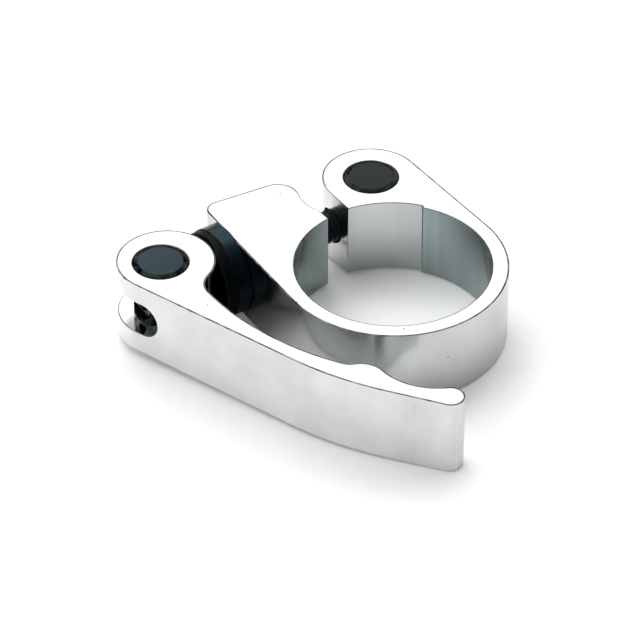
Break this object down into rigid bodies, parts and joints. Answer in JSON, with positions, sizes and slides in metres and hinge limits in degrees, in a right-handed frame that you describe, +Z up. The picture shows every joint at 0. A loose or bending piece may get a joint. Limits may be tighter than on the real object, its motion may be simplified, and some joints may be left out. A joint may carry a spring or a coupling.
{
  "type": "seatpost clamp",
  "caption": "Quick-release seatpost clamp: a split ring drawn shut by a cross bolt between a barrel nut and a forked cam lever with its pin, washer and saddle.",
  "frame": {"origin": "centre of the bore on the ring's bottom face", "axes": "+Z up along the seat tube's axis, +X along the clamp bolt towards the barrel nut, +Y out through the split"},
  "size_m": [0.0617, 0.0709, 0.0166],
  "materials": {
    "polished_aluminium": "polished",
    "black_steel": "black oxide",
    "black_anodised": "black anodised",
    "black_plastic": "moulded black acetal"
  },
  "bodies": {
    "ring": {"clamp_ring": "polished_aluminium", "barrel_nut": "black_steel"},
    "washer": {"cam_washer": "black_anodised"},
    "bolt": {"clamp_bolt": "black_steel", "lever_pin": "black_steel", "cam_saddle": "black_plastic"},
    "lever": {"lever": "polished_aluminium"}
  },
  "joints": [
    {"name": "bolt_feed", "type": "slide", "parent": "ring", "child": "washer", "axis": [-1, 0, 0], "range_m": [0, 0.004]},
    {"name": "bolt_turn", "type": "hinge", "parent": "washer", "child": "bolt", "pos_m": [0, 0.0235, 0.0073], "axis": [-1, 0, 0], "range_deg": [0, 1440]},
    {"name": "lever_swing", "type": "hinge", "parent": "bolt", "child": "lever", "pos_m": [-0.0335, 0.0235, 0.0073], "axis": [0, 0, -1], "range_deg": [0, 205]}
  ],
  "couplings": [
    {"joint": "bolt_feed", "follows": "bolt_turn", "m_per_rad": 0.00015915}
  ]
}
